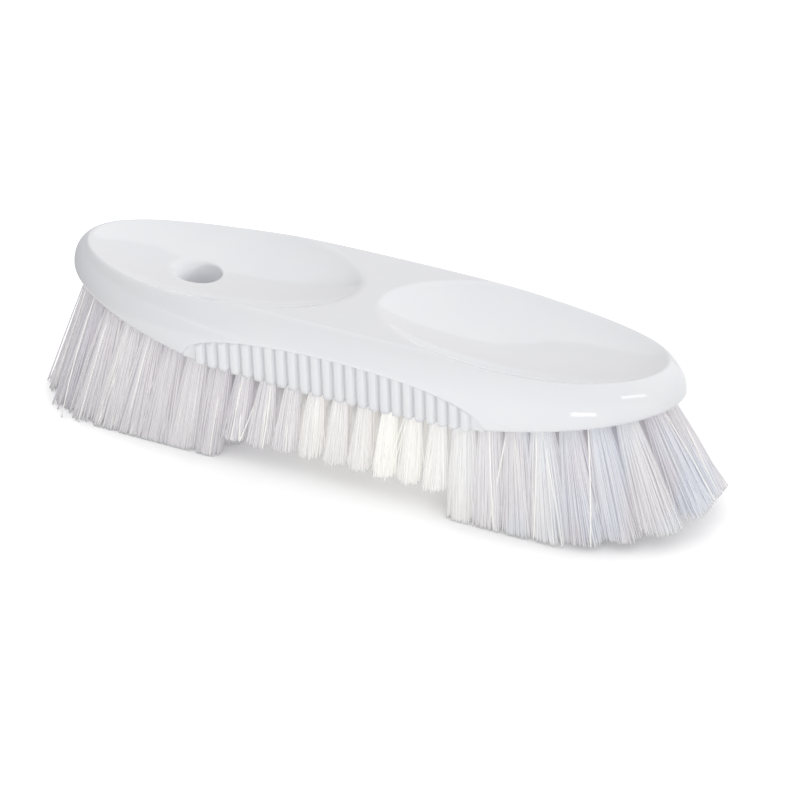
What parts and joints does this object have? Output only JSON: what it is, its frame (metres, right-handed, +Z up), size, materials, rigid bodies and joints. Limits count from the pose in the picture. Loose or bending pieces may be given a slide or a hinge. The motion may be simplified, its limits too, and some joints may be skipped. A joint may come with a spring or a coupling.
{
  "type": "jug brush",
  "caption": "Oval hand scrubbing brush: glossy white block with palm dishes, ribbed finger grips and a hanging hole, set with rows of stiff white tufts trimmed short at the waist.",
  "frame": {"origin": "under the middle of the block, on the plane that the long tufts' tips stand on", "axes": "+X along the block towards the end without the hanging hole, +Z up out of the palm dishes"},
  "size_m": [0.2206, 0.0586, 0.0511],
  "materials": {
    "block": "glossy white moulded plastic, taken to be polypropylene",
    "filament": null
  },
  "bodies": {
    "root": {"handle_block": "block", "waist_row_1_near": "filament", "waist_row_1_far": "filament", "waist_row_2_near": "filament", "waist_row_2_far": "filament", "waist_row_3_near": "filament", "waist_row_3_far": "filament", "waist_centre": "filament", "toe_row_1_near": "filament", "toe_row_1_far": "filament", "toe_row_2_near": "filament", "toe_row_2_far": "filament", "toe_row_3_near": "filament", "toe_row_3_far": "filament", "toe_centre": "filament", "heel_row_1_near": "filament", "heel_row_1_far": "filament", "heel_row_2_near": "filament", "heel_row_2_far": "filament", "heel_row_3_near": "filament", "heel_row_3_far": "filament", "heel_centre": "filament", "heel_row_3_tip": "filament"}
  },
  "joints": []
}
